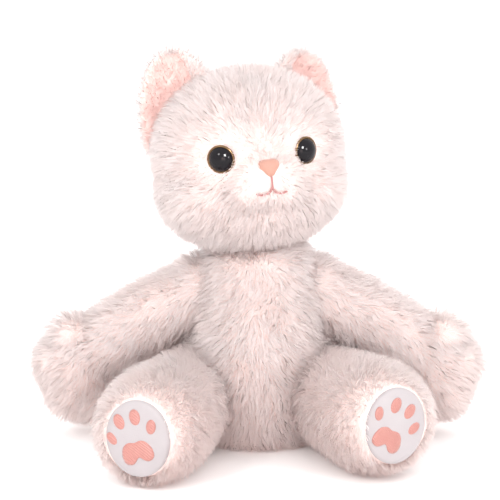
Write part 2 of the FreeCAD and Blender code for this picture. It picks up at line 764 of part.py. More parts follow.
def tail_form(name, inset):
    sections = []
    for number, (station, _, _, heading, _) in enumerate(TAIL):
        pull = inset if number == len(TAIL) - 1 else "0"
        sections.append(("{tail_%s_radius} - %s" % (station, inset),
                         {"x": "{tail_%s_side} - %s" % (station, pull),
                          "y": "{tail_%s_back} - %s * 0.5" % (station, pull),
                          "yaw": 90.0 - size("tail_%s_heading" % station), "pitch": 90.0}))
    tube = loft(name + "_tube", sections)
    ball = ellipsoid(name + "_ball", "{tail_root} - " + inset, "{tail_root} - " + inset,
                     "{tail_root} - " + inset)
    return fuse(name, tube, ball)


def tail():
    where = {"y": "{tail_face} + {joint_gap} + {tail_root}", "z": "{tail_height}"}
    outside = tail_form("tail_outside", "0")
    inside = tail_form("tail_inside", "{pelt} * 0.75")
    piece("tail_pelt", cut("tail_pelt", outside, inside), **where)
    piece("tail_stuffing", tail_form("tail_filling", "({pelt} * 0.75 + {ease})"), **where)


def write_parts():
    os.makedirs("parts", exist_ok=True)
    for thing in PIECES:
        states = [state for state in thing.State if state in ("Invalid", "Error")]
        if states:
            raise RuntimeError("%s is %s" % (thing.Label, states))
        if thing.Shape.isNull() or not thing.Shape.isValid():
            raise RuntimeError("%s has no valid shape" % thing.Label)
        thing.Shape.exportStep("parts/%s.step" % thing.Label)


fill_sheet()
torso()
head()
for side_name, side_sign in SIDES:
    arm(side_name, side_sign)
    leg(side_name, side_sign)
tail()
doc.recompute()
write_parts()
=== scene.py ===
import json
import math
import bpy
import bmesh
import numpy as np
from mathutils import Matrix, Vector
from mathutils.bvhtree import BVHTree
from mathutils.kdtree import KDTree

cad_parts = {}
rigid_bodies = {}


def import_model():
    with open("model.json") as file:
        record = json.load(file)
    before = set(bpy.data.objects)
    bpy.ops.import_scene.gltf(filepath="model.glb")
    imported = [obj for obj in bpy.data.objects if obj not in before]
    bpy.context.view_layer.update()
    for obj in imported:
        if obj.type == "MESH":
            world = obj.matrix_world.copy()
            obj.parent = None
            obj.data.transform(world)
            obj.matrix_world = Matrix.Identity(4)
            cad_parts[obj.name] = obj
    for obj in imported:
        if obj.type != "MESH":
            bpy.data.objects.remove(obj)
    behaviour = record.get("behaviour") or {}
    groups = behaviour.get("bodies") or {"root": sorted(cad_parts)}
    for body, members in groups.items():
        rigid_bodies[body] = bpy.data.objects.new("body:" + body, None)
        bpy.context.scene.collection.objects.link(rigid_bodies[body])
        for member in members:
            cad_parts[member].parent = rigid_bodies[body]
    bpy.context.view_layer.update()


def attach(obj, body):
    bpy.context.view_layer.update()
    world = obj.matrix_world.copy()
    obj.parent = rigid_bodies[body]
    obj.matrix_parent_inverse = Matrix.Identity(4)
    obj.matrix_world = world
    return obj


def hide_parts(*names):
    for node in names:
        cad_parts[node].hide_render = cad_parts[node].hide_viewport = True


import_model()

# White long-pile plush cat.  Shapes are written in millimetres and turned into
# metres when their meshes are made.  +Z is up, the cat faces -Y, +X is its left.

MM = 0.001
rng = np.random.default_rng(20)

# The head's own frame: straight ahead is -Y, the neck is its origin.
HEAD = (Matrix.Translation((-2.0, -2.0, 118.0))
        @ Matrix.Rotation(math.radians(13.5), 4, "Z")
        @ Matrix.Rotation(math.radians(-4.0), 4, "Y"))
ARM_FACE = 31.3
LEG_FACE = 37.3
ARM_HEIGHT = 88.5
HIP_HEIGHT = 31.0
HIP_Y = {1: -6.0, -1: -13.0}
KNEE_FORWARD = 24.0
SPLAY = {1: math.radians(25.0), -1: math.radians(17.5)}
FOOT_LIFT = {1: 3.0, -1: -1.0}
PRINT_TURN = {1: math.radians(30.0), -1: math.radians(-18.0)}
SOLE_AHEAD = 78.0
TAIL_ROOT = Vector((0.0, 50.3, 16.0))
SOLE_ACROSS = 18.6
SOLE_TALL = 21.6
SOLE_DOME = 2.0
SOLE_EDGE = 2.4
PRINT_SHIFT = 2.0
PILE_DENSITY = 1.9
PILE_JITTER = 0.24
PILE_FLOOR = 0.35
STRANDS_PER_LOCK = 10
HIDE_GRAIN = 1.7
BODY_PILE = 12.0
ARM_PILE = 11.5
TAIL_PILE = 11.0
SIDES = ((1, "left"), (-1, "right"))


# ------------------------------------------------------------------ materials

def new_material(name, color, roughness):
    material = bpy.data.materials.new(name)
    material.use_nodes = True
    shader = material.node_tree.nodes["Principled BSDF"]
    shader.inputs["Base Color"].default_value = (*color, 1.0)
    shader.inputs["Roughness"].default_value = roughness
    return material, shader


def add_noise_colour(material, shader, color, dark, scale):
    """Mottle the base colour between two close tones at a real scale."""
    nodes = material.node_tree.nodes
    links = material.node_tree.links
    place = nodes.new("ShaderNodeTexCoord")
    noise = nodes.new("ShaderNodeTexNoise")
    noise.inputs["Scale"].default_value = scale
    noise.inputs["Detail"].default_value = 3.0
    ramp = nodes.new("ShaderNodeValToRGB")
    ramp.color_ramp.elements[0].position = 0.3
    ramp.color_ramp.elements[0].color = (*dark, 1.0)
    ramp.color_ramp.elements[1].position = 0.7
    ramp.color_ramp.elements[1].color = (*color, 1.0)
    links.new(place.outputs["Object"], noise.inputs["Vector"])
    links.new(noise.outputs["Fac"], ramp.inputs["Fac"])
    links.new(ramp.outputs["Color"], shader.inputs["Base Color"])


def add_bump(material, shader, texture_output, distance):
    nodes = material.node_tree.nodes
    bump = nodes.new("ShaderNodeBump")
    bump.inputs["Distance"].default_value = distance
    material.node_tree.links.new(texture_output, bump.inputs["Height"])
    material.node_tree.links.new(bump.outputs["Normal"], shader.inputs["Normal"])


def pile_material(name, color, dark):
    """Soft synthetic pile: matte fibres that pass on as much light as they throw back."""
    material, shader = new_material(name, color, 0.9)
    add_noise_colour(material, shader, color, dark, 60.0)
    shader.inputs["Specular IOR Level"].default_value = 0.1
    nodes = material.node_tree.nodes
    links = material.node_tree.links
    through = nodes.new("ShaderNodeBsdfTranslucent")
    ramp = nodes["Color Ramp"]
    links.new(ramp.outputs["Color"], through.inputs["Color"])
    mix = nodes.new("ShaderNodeMixShader")
    mix.inputs["Fac"].default_value = 0.5
    links.new(shader.outputs["BSDF"], mix.inputs[1])
    links.new(through.outputs["BSDF"], mix.inputs[2])
    links.new(mix.outputs["Shader"], nodes["Material Output"].inputs["Surface"])
    return material


def paint_shade_near_ground(material):
    """Painted shade: the pile's colour turns a darker pink towards the ground, standing in for
    the shade and pink bounce light low on the toy.
    """
    nodes = material.node_tree.nodes
    links = material.node_tree.links
    place = nodes.new("ShaderNodeTexCoord")
    parts = nodes.new("ShaderNodeSeparateXYZ")
    low = nodes.new("ShaderNodeMapRange")
    low.inputs["From Min"].default_value = 0.0
    low.inputs["From Max"].default_value = 0.06
    low.inputs["To Min"].default_value = 0.35
    low.inputs["To Max"].default_value = 0.0
    # A colour mix takes its factor at socket 0 and its colours at 6 and 7; it gives them at 2.
    shade_tint = nodes.new("ShaderNodeMix")
    shade_tint.data_type = "RGBA"
    # Painted shade colour: the darker pink laid on the pile near the ground.
    shade_tint.inputs[7].default_value = (0.98, 0.84, 0.81, 1.0)
    links.new(place.outputs["Object"], parts.inputs["Vector"])
    links.new(parts.outputs["Z"], low.inputs["Value"])
    links.new(low.outputs["Result"], shade_tint.inputs[0])
    links.new(nodes["Color Ramp"].outputs["Color"], shade_tint.inputs[6])
    links.new(shade_tint.outputs[2], nodes["Principled BSDF"].inputs["Base Color"])
    links.new(shade_tint.outputs[2], nodes["Translucent BSDF"].inputs["Color"])


def cloth_material(name, color, dark, grain, depth, sheen):
    """Short smooth cloth with a fine grain."""
    material, shader = new_material(name, color, 0.8)
    add_noise_colour(material, shader, color, dark, 90.0)
    fine = material.node_tree.nodes.new("ShaderNodeTexNoise")
    fine.inputs["Scale"].default_value = grain
    fine.inputs["Detail"].default_value = 2.0
    place = material.node_tree.nodes["Texture Coordinate"]
    material.node_tree.links.new(place.outputs["Object"], fine.inputs["Vector"])
    add_bump(material, shader, fine.outputs["Fac"], depth)
    shader.inputs["Sheen Weight"].default_value = sheen
    shader.inputs["Sheen Roughness"].default_value = 0.5
    return material


def thread_material(name, color, dark, pitch):
    """Embroidery: fine parallel threads with a satin shine."""
    material, shader = new_material(name, color, 0.5)
    add_noise_colour(material, shader, color, dark, 220.0)
    wave = material.node_tree.nodes.new("ShaderNodeTexWave")
    wave.bands_direction = "DIAGONAL"
    wave.inputs["Scale"].default_value = pitch
    wave.inputs["Distortion"].default_value = 1.5
    wave.inputs["Detail"].default_value = 1.0
    place = material.node_tree.nodes["Texture Coordinate"]
    material.node_tree.links.new(place.outputs["Object"], wave.inputs["Vector"])
    add_bump(material, shader, wave.outputs["Fac"], 0.0002)
    shader.inputs["Sheen Weight"].default_value = 0.3
    return material


def hard_material(name, color, roughness, metallic=0.0, shine=0.3):
    material, shader = new_material(name, color, roughness)
    shader.inputs["Metallic"].default_value = metallic
    shader.inputs["Specular IOR Level"].default_value = shine
    nodes = material.node_tree.nodes
    place = nodes.new("ShaderNodeTexCoord")
    noise = nodes.new("ShaderNodeTexNoise")
    noise.inputs["Scale"].default_value = 900.0
    material.node_tree.links.new(place.outputs["Object"], noise.inputs["Vector"])
    add_bump(material, shader, noise.outputs["Fac"], 0.000004)
    return material


WHITE = (0.99, 0.945, 0.938)
WHITE_DARK = (0.985, 0.92, 0.905)
M_FUR = pile_material("white_pile", WHITE, WHITE_DARK)
# The backing's peach colour is partly its own tone and partly painted shade: seen between the
# strands, it gives the creases a warm shade.
M_BACKING = cloth_material("pile_backing", (0.97, 0.82, 0.78), (0.95, 0.78, 0.74), 2500.0,
                           0.0002, 0.0)
# Painted shade: the white pile is tinted darker pink near the ground.
paint_shade_near_ground(M_FUR)
M_PINK_PILE = pile_material("pink_pile", (0.985, 0.8, 0.77), (0.97, 0.76, 0.72))
M_PINK_BACKING = cloth_material("pink_backing", (0.97, 0.77, 0.73), (0.95, 0.72, 0.68),
                                2500.0, 0.0002, 0.3)
# Painted shade: the sole cloth is white, and it is given a grey base colour to offset the strong
# lamps the pile needs.
M_SOLE = cloth_material("sole_cloth", (0.39, 0.365, 0.375), (0.375, 0.345, 0.355), 1600.0,
                        0.00015, 0.35)
# Painted shade: the pad thread's pink is made darker than its own colour to offset the strong
# lamps the pile needs.
M_THREAD = thread_material("pink_thread", (0.45, 0.195, 0.165), (0.42, 0.17, 0.145), 380.0)
M_MOUTH = thread_material("mouth_thread", (0.48, 0.2, 0.19), (0.42, 0.17, 0.16), 700.0)
M_NOSE = cloth_material("nose_flock", (0.45, 0.235, 0.175), (0.43, 0.21, 0.16), 3000.0,
                        0.00012, 0.4)
M_EYE = hard_material("eye_black", (0.008, 0.007, 0.009), 0.06, shine=0.18)
M_GOLD = hard_material("eye_gold", (0.16, 0.095, 0.045), 0.25, metallic=0.6)
M_PLASTIC = hard_material("joint_plastic", (0.85, 0.85, 0.84), 0.45)
M_FILL = cloth_material("stuffing", (0.9, 0.9, 0.9), (0.85, 0.85, 0.85), 300.0, 0.001, 0.3)
M_BAG = cloth_material("pellet_cloth", (0.8, 0.8, 0.76), (0.74, 0.74, 0.7), 1500.0,
                       0.0002, 0.1)


# ------------------------------------------------------------------ mesh helpers

def mesh_object(name, vertices, faces, materials):
    """Make an object from millimetre vertices."""
    mesh = bpy.data.meshes.new(name)
    mesh.from_pydata([tuple(MM * c for c in v) for v in vertices], [], faces)
    for material in materials:
        mesh.materials.append(material)
    mesh.polygons.foreach_set("use_smooth", [True] * len(mesh.polygons))
    mesh.update()
    item = bpy.data.objects.new(name, mesh)
    bpy.context.scene.collection.objects.link(item)
    return item


def ball(centre, radii):
    """An ellipsoid as (vertices, faces) in millimetres."""
    shape = bmesh.new()
    bmesh.ops.create_icosphere(shape, subdivisions=4, radius=1.0)
    move = Matrix.Translation(centre) @ Matrix.Diagonal((*radii, 1.0))
    vertices = [move @ v.co for v in shape.verts]
    faces = [[v.index for v in f.verts] for f in shape.faces]
    shape.free()
    return vertices, faces


def tube(stations, sides=40):
    """A closed round tube through (centre, heading, radius) stations."""
    vertices = []
    faces = []
    for centre, heading, radius in stations:
        heading = Vector(heading).normalized()
        if abs(heading.z) < 0.9:
            across = heading.cross(Vector((0, 0, 1))).normalized()
        else:
            across = heading.cross(Vector((0, 1, 0))).normalized()
        over = heading.cross(across)
        for step in range(sides):
            angle = 2 * math.pi * step / sides
            vertices.append(Vector(centre) + radius * (math.cos(angle) * across
                                                       + math.sin(angle) * over))
    for ring in range(len(stations) - 1):
        for step in range(sides):
            a = ring * sides + step
            b = ring * sides + (step + 1) % sides
            faces.append([a, b, b + sides, a + sides])
    faces.append(list(range(sides))[::-1])
    faces.append(list(range((len(stations) - 1) * sides, len(stations) * sides)))
    return vertices, faces


def skin(blobs, rounds, clamp=None, move=None):
    """Join closed shapes into one smooth hide; returns numpy vertices, normals, triangles."""
    vertices = []
    faces = []
    for more_vertices, more_faces in blobs:
        start = len(vertices)
        vertices.extend(more_vertices)
        faces.extend([[i + start for i in f] for f in more_faces])
    item = mesh_object("form", vertices, faces, [])
    joined = item.modifiers.new("join", "REMESH")
    joined.mode = "VOXEL"
    joined.voxel_size = HIDE_GRAIN * MM
    soft = item.modifiers.new("soft", "SMOOTH")
    soft.factor = 0.6
    soft.iterations = rounds
    graph = bpy.context.evaluated_depsgraph_get()
    mesh = bpy.data.meshes.new_from_object(item.evaluated_get(graph))
    bpy.data.objects.remove(item)
    count = len(mesh.vertices)
    points = np.empty(count * 3)
    mesh.vertices.foreach_get("co", points)
    points = points.reshape(-1, 3) / MM
    if clamp is not None:
        points = clamp(points)
    mesh.calc_loop_triangles()
    triangles = np.empty(len(mesh.loop_triangles) * 3, dtype=np.int64)
    mesh.loop_triangles.foreach_get("vertices", triangles)
    triangles = triangles.reshape(-1, 3)
    bpy.data.meshes.remove(mesh)
    if move is not None:
        matrix = np.array(move)
        points = points @ matrix[:3, :3].T + matrix[:3, 3]
    return points, vertex_normals(points, triangles), triangles


def vertex_normals(points, triangles):
    a, b, c = (points[triangles[:, k]] for k in range(3))
    face = np.cross(b - a, c - a)
    normals = np.zeros_like(points)
    for k in range(3):
        np.add.at(normals, triangles[:, k], face)
    return unit(normals)


def unit(vectors):
    return vectors / np.maximum(np.linalg.norm(vectors, axis=1, keepdims=True), 1e-9)


def part_of(hide, keep):
    """The triangles of a hide whose middles satisfy keep(points)."""
    points, normals, triangles = hide
    middles = points[triangles].mean(axis=1)
    return points, normals, triangles[keep(middles)]


def wavy(points, wavelength, seed):
    """A smooth vector field, each component within about -1 to 1."""
    maker = np.random.default_rng(seed)
    out = np.zeros_like(points)
    for _ in range(5):
        turn = maker.normal(size=(3, 3)) * (2 * math.pi / wavelength) * 0.6
        phase = maker.uniform(0, 2 * math.pi, 3)
        out += np.sin(points @ turn + phase)
    return out / 3.0


# ------------------------------------------------------------------ pile

def scatter(hide, density):
    """Random points on a hide, with normals; density is per square millimetre."""
    points, normals, triangles = hide
    a, b, c = (points[triangles[:, k]] for k in range(3))
    areas = 0.5 * np.linalg.norm(np.cross(b - a, c - a), axis=1)
    count = int(areas.sum() * density)
    chosen = rng.choice(len(triangles), size=count, p=areas / areas.sum())
    u = rng.uniform(size=count)
    v = rng.uniform(size=count)
    flip = u + v > 1
    u[flip] = 1 - u[flip]
    v[flip] = 1 - v[flip]
    w = 1 - u - v
    corner = triangles[chosen]
    roots = (w[:, None] * points[corner[:, 0]] + u[:, None] * points[corner[:, 1]]
             + v[:, None] * points[corner[:, 2]])
    up = unit(w[:, None] * normals[corner[:, 0]] + u[:, None] * normals[corner[:, 1]]
              + v[:, None] * normals[corner[:, 2]])
    return roots, up


def clump(roots, tips, pull):
    """Draw tips together towards the tip of the nearest chosen strand."""
    count = max(1, int(len(roots) / STRANDS_PER_LOCK))
    leaders = rng.choice(len(roots), size=count, replace=False)
    tree = KDTree(count)
    for number, index in enumerate(leaders):
        tree.insert(Vector(roots[index]), number)
    tree.balance()
    nearest = np.array([tree.find(Vector(r))[1] for r in roots])
    goal = tips[leaders[nearest]]
    share = pull * rng.uniform(0.55, 1.0, size=len(roots))[:, None]
    return tips + (goal - tips) * share


def strands(hide, density, length, comb, lay=0.75, pull=0.5, width=0.25, skip=None):
    """Ribbon strands over a hide: returns vertices, faces and shading normals."""
    roots, up = scatter(hide, density)
    if skip is not None:
        keep = ~skip(roots)
        roots = roots[keep]
        up = up[keep]
    count = len(roots)
    long = length(roots) * rng.uniform(0.72, 1.12, size=count)
    way = comb(roots)
    way = way - (way * up).sum(axis=1, keepdims=True) * up
    way = unit(way + 0.42 * wavy(roots, 30.0, 3) + 0.22 * wavy(roots, 9.0, 5))
    way = way - (way * up).sum(axis=1, keepdims=True) * up
    start = unit(up + 0.35 * lay * way + PILE_JITTER * rng.normal(size=(count, 3)))
    finish = unit(0.75 * up + 1.5 * lay * way + PILE_JITTER * rng.normal(size=(count, 3)))
    middle = roots + start * long[:, None] * 0.5
    tips = middle + finish * long[:, None] * 0.52
    tips = clump(roots, tips, pull)
    third = roots + (middle - roots) * 0.7
    shoulder = middle * 0.45 + tips * 0.35 + roots * 0.2 + start * long[:, None] * 0.12
    rows = [roots - up * 0.4, third, shoulder, tips]
    for row in rows[1:]:
        row[:, 2] = np.maximum(row[:, 2], PILE_FLOOR + rng.uniform(0.0, 0.5, size=count))
    along = unit(tips - roots)
    face = unit(up - (up * along).sum(axis=1, keepdims=True) * along
                + 0.4 * rng.normal(size=(count, 3)))
    side = unit(np.cross(along, face))
    half = 0.5 * width * rng.uniform(0.7, 1.3, size=count)[:, None]
    shade = unit(up + 0.1 * rng.normal(size=(count, 3)))
    vertices = np.empty((count, 7, 3))
    vertices[:, 0] = rows[0] - side * half
    vertices[:, 1] = rows[0] + side * half
    vertices[:, 2] = rows[1] - side * half
    vertices[:, 3] = rows[1] + side * half
    vertices[:, 4] = rows[2] - side * half * 0.8
    vertices[:, 5] = rows[2] + side * half * 0.8
    vertices[:, 6] = rows[3]
    normals = np.repeat(shade[:, None, :], 7, axis=1)
    return vertices.reshape(-1, 3), normals.reshape(-1, 3), count


def furred(name, hide, pile, cover, backing):
    """One object holding a hide and its strands, shaded softly."""
    points, normals, triangles = hide
    used, inverse = np.unique(triangles, return_inverse=True)
    base = points[used]
    base_normals = normals[used]
    inverse = inverse.reshape(-1, 3)
    hairs = [p for p in pile if p[2] > 0]
    vertices = np.concatenate([base] + [p[0] for p in hairs])
    shading = np.concatenate([base_normals] + [p[1] for p in hairs])
    loops = [inverse.reshape(-1)]
    sizes = [np.full(len(inverse), 3)]
    start = len(base)
    for _, _, count in hairs:
        first = start + 7 * np.arange(count)[:, None]
        pattern = np.array([0, 1, 3, 2, 2, 3, 5, 4, 4, 5, 6])
        loops.append((first + pattern).reshape(-1))
        sizes.append(np.tile(np.array([4, 4, 3]), count))
        start += 7 * count
    loops = np.concatenate(loops)
    sizes = np.concatenate(sizes)
    mesh = bpy.data.meshes.new(name)
    mesh.vertices.add(len(vertices))
    mesh.vertices.foreach_set("co", (vertices * MM).reshape(-1))
    mesh.loops.add(len(loops))
    mesh.loops.foreach_set("vertex_index", loops.astype(np.int32))
    mesh.polygons.add(len(sizes))
    starts = np.concatenate([[0], np.cumsum(sizes)[:-1]])
    mesh.polygons.foreach_set("loop_start", starts.astype(np.int32))
    mesh.materials.append(backing)
    mesh.materials.append(cover)
    index = np.ones(len(sizes), dtype=np.int32)
    index[:len(inverse)] = 0
    mesh.polygons.foreach_set("material_index", index)
    mesh.polygons.foreach_set("use_smooth", np.ones(len(sizes), dtype=bool))
    mesh.update(calc_edges=True)
    mesh.validate()
    mesh.normals_split_custom_set_from_vertices(shading.tolist())
    item = bpy.data.objects.new(name, mesh)
    bpy.context.scene.collection.objects.link(item)
    return item


def finish_pelt(item, body, node):
    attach(item, body)
    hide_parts(node)


# ------------------------------------------------------------------ torso

TORSO = ((0.0, 32.0), (3.0, 36.5), (7.0, 39.5), (20.0, 43.5), (35.0, 45.0), (52.0, 43.0),
         (68.0, 39.5), (84.0, 36.0), (100.0, 32.0), (110.0, 28.5), (116.0, 22.0))


def clamp_torso(points):
    points = points.copy()
    wide = np.where(points[:, 2] > 60.0, 30.9, 36.9)
    points[:, 0] = np.clip(points[:, 0], -wide, wide)
    points[:, 2] = np.clip(points[:, 2], 0.4, 115.8)
    return points


def downward(points):
    """Pile direction on upright parts: down, and away from the middle at the sides."""
    out = np.zeros_like(points)
    out[:, 2] = -1.0
    across = points[:, 0]
    out[:, 0] = np.sign(across) * np.interp(np.abs(across), [10, 31], [0.05, 0.9])
    return out


def torso():
    stations = [((0.0, 0.0, z), (0, 0, 1), r - 1.0) for z, r in TORSO]
    hide = skin([tube(stations, 64)], clamp=clamp_torso, rounds=6)

    def bare(points):
        x = np.abs(points[:, 0])
        z = points[:, 2]
        return (z < 0.9) | ((x > 30.5) & (np.hypot(points[:, 1], z - ARM_HEIGHT) < 13.0))

    for name, node, sign in (("body_front", "body_front_pelt", -1),
                             ("body_back", "body_back_pelt", 1)):
        panel = part_of(hide, lambda m, s=sign: m[:, 1] * s > 0)
        pile = strands(panel, PILE_DENSITY, lambda p: np.full(len(p), BODY_PILE), downward,
                       skip=bare)
        item = furred(name, panel, [pile], M_FUR, M_BACKING)
        finish_pelt(item, "torso", node)


# ------------------------------------------------------------------ head

def to_head(points):
    matrix = np.array(HEAD.inverted())
    return points @ matrix[:3, :3].T + matrix[:3, 3]


def from_head(vectors):
    matrix = np.array(HEAD)
    return vectors @ matrix[:3, :3].T


EYE_AT = (24.5, -37.0, 58.0)
NOSE_AT = (0.0, -55.0, 52.5)


def head_comb(points):
    """Pile sweeps from the nose outward over the face, then back and down."""
    local = to_head(points)
    away = local - np.array([0.0, -60.0, 56.0])
    away = unit(away)
    away[:, 2] -= 0.25 + 0.5 * np.clip((local[:, 1] + 20.0) / 60.0, 0, 1)
    return from_head(away)


def head_length(points):
    local = to_head(points)
    to_nose = np.linalg.norm(local - np.array([0.0, -56.0, 48.0]), axis=1)
    length = np.interp(to_nose, [6.0, 14.0, 26.0, 45.0, 75.0], [2.6, 4.8, 8.0, 10.5, 12.0])
    for sign, _ in SIDES:
        eye = np.array([sign * EYE_AT[0], EYE_AT[1], EYE_AT[2]])
        near = np.linalg.norm(local - eye, axis=1)
        length = np.minimum(length, np.interp(near, [8.0, 12.0, 20.0, 32.0],
                                              [2.6, 4.6, 8.5, 12.0]))
    return length


def head_bare(points):
    local = to_head(points)
    bare = local[:, 2] < 1.0
    for sign, _ in SIDES:
        eye = np.array([sign * EYE_AT[0], EYE_AT[1], EYE_AT[2]])
        bare |= np.linalg.norm(local - eye, axis=1) < 7.4
    nose = (local - np.array(NOSE_AT)) / np.array([6.2, 9.0, 5.4])
    bare |= np.linalg.norm(nose, axis=1) < 1.0
    return bare


def head():
    blobs = [ball((0, 0, 54), (51.5, 44.5, 45.5)), ball((0, 0, 35), (51.5, 43.0, 33.5)),
             ball((0, -37, 44), (21.0, 16.5, 15.5)),
             ball((10, -38, 39), (11.0, 13.0, 10.0)), ball((-10, -38, 39), (11.0, 13.0, 10.0)),
             ball((28, -16, 34), (20.0, 21.0, 18.0)), ball((-28, -16, 34), (20.0, 21.0, 18.0))]

    def clamp(points):
        points = points.copy()
        for sign, _ in SIDES:
            eye = np.array([sign * (EYE_AT[0] + 3.5), EYE_AT[1] - 7.0, EYE_AT[2]])
            offset = points - eye
            near = np.linalg.norm(offset, axis=1)
            sink = 1.8 * np.exp(-(near / 11.0) ** 2)
            points[:, 1] += sink
        points[:, 2] = np.maximum(points[:, 2], 0.3)
        return points

    hide = skin(blobs, clamp=clamp, rounds=14, move=HEAD)

    def gusset(middles):
        local = to_head(middles)
        return (np.abs(local[:, 0]) < 19.0) & (local[:, 2] > 60.0)

    panels = (
        ("head_top", "head_gusset", gusset),
        ("head_left", "head_left_pelt",
         lambda m: ~gusset(m) & (to_head(m)[:, 0] >= 0)),
        ("head_right", "head_right_pelt",
         lambda m: ~gusset(m) & (to_head(m)[:, 0] < 0)),
    )
    for name, node, rule in panels:
        panel = part_of(hide, rule)
        pile = strands(panel, 2.0, head_length, head_comb, skip=head_bare, pull=0.45)
        item = furred(name, panel, [pile], M_FUR, M_BACKING)
        finish_pelt(item, "head", node)
    return hide


def surface_finder(hide):
    points, _, triangles = hide
    return BVHTree.FromPolygons([Vector(p) for p in points], [tuple(t) for t in triangles])


def on_face(tree, x, z):
    """The point of the head's hide in front of (x, z), and its normal, in world terms."""
    start = HEAD @ Vector((x, -90.0, z))
    ahead = (HEAD.to_3x3() @ Vector((0, 1, 0))).normalized()
    hit, normal, _, _ = tree.ray_cast(start, ahead)
    return hit, normal


def eyes():
    for sign, side in SIDES:
        yaw = math.radians(28.0) * sign
        place = (HEAD @ Matrix.Translation((sign * EYE_AT[0], EYE_AT[1], EYE_AT[2]))
                 @ Matrix.Rotation(yaw, 4, "Z"))
        vertices, faces = ball((0, 0, 0), (7.4, 5.4, 7.4))
        dome = mesh_object(side + "_eye_dome", [place @ Vector(v) for v in vertices], faces,
                           [M_EYE])
        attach(dome, "head")
        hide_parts(side + "_eye")
        ring_vertices = []
        ring_faces = []
        around, across = 64, 12
        for i in range(around):
            a = 2 * math.pi * i / around
            for j in range(across):
                b = 2 * math.pi * j / across
                r = 7.45 + 0.75 * math.cos(b)
                ring_vertices.append(place @ Vector((r * math.cos(a),
                                                     -0.9 - 0.8 * math.sin(b),
                                                     r * math.sin(a))))
                k = (i + 1) % around
                m = (j + 1) % across
                ring_faces.append([i * across + j, k * across + j, k * across + m,
                                   i * across + m])
        ring = mesh_object(side + "_eye_ring", ring_vertices, ring_faces, [M_GOLD])
        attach(ring, "head")
        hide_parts(side + "_eye_rim")


def pillow(name, outline, middle, right, up, out, dome, material, rings=10):
    """A domed patch over a closed outline given as (across, up) pairs."""
    vertices = []
    faces = []
    count = len(outline)
    for ring in range(rings + 1):
        share = ring / rings
        height = dome * math.sqrt(max(0.0, 1.0 - share ** SOLE_EDGE))
        for across, over in outline:
            vertices.append(middle + right * (across * share) + up * (over * share)
                            + out * height)
    for ring in range(rings):
        for step in range(count):
            a = ring * count + step
            b = ring * count + (step + 1) % count
            faces.append([a, b, b + count, a + count])
    rim = rings * count
    base = len(vertices)
    for across, over in outline:
        vertices.append(middle + right * across + up * over - out * 1.2)
    for step in range(count):
        a = rim + step
        b = rim + (step + 1) % count
        faces.append([a, b, base + (step + 1) % count, base + step])
    faces.append([base + step for step in range(count)][::-1])
    return mesh_object(name, vertices, faces, [material])


def nose(tree):
    outline = []
    for step in range(48):
        angle = 2 * math.pi * step / 48
        # Wide at the top and narrow below, with round corners.
        radius = 1.0 + 0.13 * math.cos(3 * (angle - math.pi / 2) + math.pi)
        wide = 5.6 * (1.0 + 0.1 * math.sin(angle))
        outline.append((wide * radius * math.cos(angle), 5.6 * radius * math.sin(angle)))
    hit, _ = on_face(tree, 0.0, NOSE_AT[2])
    turn = HEAD.to_3x3()
    out = (turn @ Vector((0, -0.96, 0.22))).normalized()
    right = (turn @ Vector((1, 0, 0))).normalized()
    up = out.cross(right)
    item = pillow("nose_pad", outline, hit - out * 0.6, right, up, out, 3.2, M_NOSE)
    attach(item, "head")
    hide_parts("nose")


def rope(points, radius):
    """A thin round thread along points, as (vertices, faces)."""
    stations = []
    for number, point in enumerate(points):
        before = points[max(0, number - 1)]
        after = points[min(len(points) - 1, number + 1)]
        stations.append((point, (after - before).normalized(), radius))
    return tube(stations, 8)


def mouth(tree):
    """Inverted-Y stitching: a short drop from the nose, then two curves."""
    lines = []
    lines.append([(0.0, 47.6 - 4.6 * k / 6) for k in range(7)])
    for sign in (-1, 1):
        line = []
        for k in range(15):
            angle = math.pi * (1.0 - 0.7 * k / 14)
            line.append((sign * (4.9 + 4.9 * math.cos(angle)) * 1.12,
                         43.0 - 5.0 * math.sin(angle)))
        lines.append(line)
    vertices = []
    faces = []
    for line in lines:
        path = []
        for x, z in line:
            hit, normal = on_face(tree, x, z)
            path.append(hit + normal * 1.3)
        more_vertices, more_faces = rope(path, 0.62)
        start = len(vertices)
        vertices.extend(more_vertices)
        faces.extend([[i + start for i in f] for f in more_faces])
    item = mesh_object("mouth_thread", vertices, faces, [M_MOUTH])
    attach(item, "head")
    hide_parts("mouth_stitching")


# ------------------------------------------------------------------ ears

EAR_HEIGHT = {1: 80.0, -1: 87.0}


